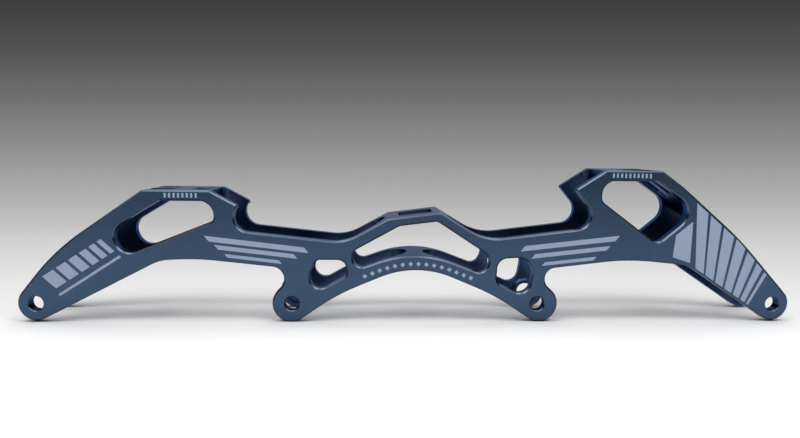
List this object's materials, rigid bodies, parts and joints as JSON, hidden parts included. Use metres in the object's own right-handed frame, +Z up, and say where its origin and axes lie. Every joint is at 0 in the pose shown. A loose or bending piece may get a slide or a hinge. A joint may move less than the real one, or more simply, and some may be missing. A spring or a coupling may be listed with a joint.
{
  "type": "inline skate frame",
  "caption": "Milled aluminium inline skate frame: windowed side plates joined by stepped boot decks and bridges, with axle holes for large wheels.",
  "frame": {"origin": "on the floor plane under the feet, midway between the first and last axle", "axes": "+X from the toe end to the heel end, +Y from the near plate to the far plate, +Z up towards the boot"},
  "size_m": [0.3506, 0.036, 0.0698],
  "materials": {
    "anodised_aluminium": "dark blue satin anodised",
    "etched_mark": "pale matt laser marking"
  },
  "bodies": {
    "root": {"near_side_plate": "anodised_aluminium", "far_side_plate": "anodised_aluminium", "front_deck": "anodised_aluminium", "rear_deck": "anodised_aluminium", "upper_bridge": "anodised_aluminium", "lower_bridge": "anodised_aluminium"}
  },
  "joints": []
}
